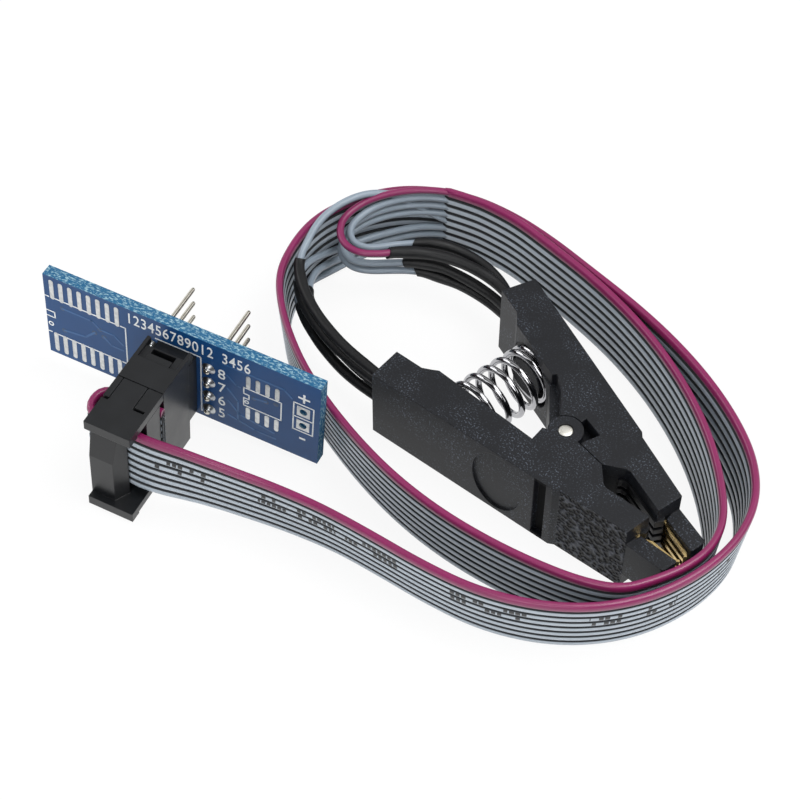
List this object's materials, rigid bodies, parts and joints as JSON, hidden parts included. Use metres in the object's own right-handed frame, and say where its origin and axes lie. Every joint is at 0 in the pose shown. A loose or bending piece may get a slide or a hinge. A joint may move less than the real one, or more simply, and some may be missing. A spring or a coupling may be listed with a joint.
{
  "type": "ic test clip",
  "caption": "Sprung clothes-peg style test clip for small-outline chips, on a flat ribbon cable with a socket and a pin adapter board.",
  "frame": {"origin": "on the hinge pin's axis, in the clip's lower side face", "axes": "+X along the closed jaws towards the nose, +Z along the hinge pin, up as the clip lies on its side"},
  "size_m": [0.0764, 0.066, 0.0176],
  "materials": {
    "jaw_plastic": "fine grained, near black",
    "comb_plastic": "smooth, black",
    "gold_strip": "gold plated",
    "pin_steel": "pressed pin head",
    "spring_chrome": "bright",
    "shrink_sleeve": "satin",
    "magenta_pvc": "marked edge conductor",
    "grey_pvc": "ribbed grey; edge conductor magenta",
    "socket_plastic": "moulded black",
    "tin": "bright tin",
    "solder": "bright",
    "tinned_pad": "dull tin",
    "blue_laminate": "blue solder mask"
  },
  "bodies": {
    "rear": {"upper_jaw": "jaw_plastic", "upper_comb": "comb_plastic", "upper_contacts": "gold_strip", "jaw_spring": "spring_chrome", "upper_sleeve_1": "shrink_sleeve", "upper_sleeve_2": "shrink_sleeve", "upper_sleeve_3": "shrink_sleeve", "upper_sleeve_4": "shrink_sleeve", "upper_wire_1": "magenta_pvc", "upper_wire_2": "grey_pvc", "upper_wire_3": "grey_pvc", "upper_wire_4": "grey_pvc", "lower_sleeve_1": "shrink_sleeve", "lower_sleeve_2": "shrink_sleeve", "lower_sleeve_3": "shrink_sleeve", "lower_sleeve_4": "shrink_sleeve", "lower_wire_1": "grey_pvc", "lower_wire_2": "grey_pvc", "lower_wire_3": "grey_pvc", "lower_wire_4": "grey_pvc", "ribbon_cable": "grey_pvc", "ribbon_tail": "grey_pvc", "socket_body": "socket_plastic", "socket_cover": "socket_plastic", "strain_relief": "socket_plastic", "socket_contacts": "tin", "adapter_board": "blue_laminate", "header_base": "socket_plastic", "header_pins": "tin", "dip_bases": "socket_plastic", "dip_pins": "tin", "solder_joints": "solder", "sop16_pads": "tinned_pad", "sop8_pads": "tinned_pad", "supply_pads": "tinned_pad"},
    "front": {"lower_jaw": "jaw_plastic", "hinge_pin": "pin_steel", "lower_comb": "comb_plastic", "lower_contacts": "gold_strip", "lower_stub_1": "shrink_sleeve", "lower_stub_2": "shrink_sleeve", "lower_stub_3": "shrink_sleeve", "lower_stub_4": "shrink_sleeve"}
  },
  "joints": [
    {"name": "jaw_hinge", "type": "hinge", "parent": "rear", "child": "front", "pos_m": [0, 0, 0.0052], "axis": [0, 0, -1], "range_deg": [0, 18], "stiffness_Nm_per_rad": 0.25, "springref_deg": -17.19, "deforming": ["jaw_spring"]}
  ]
}
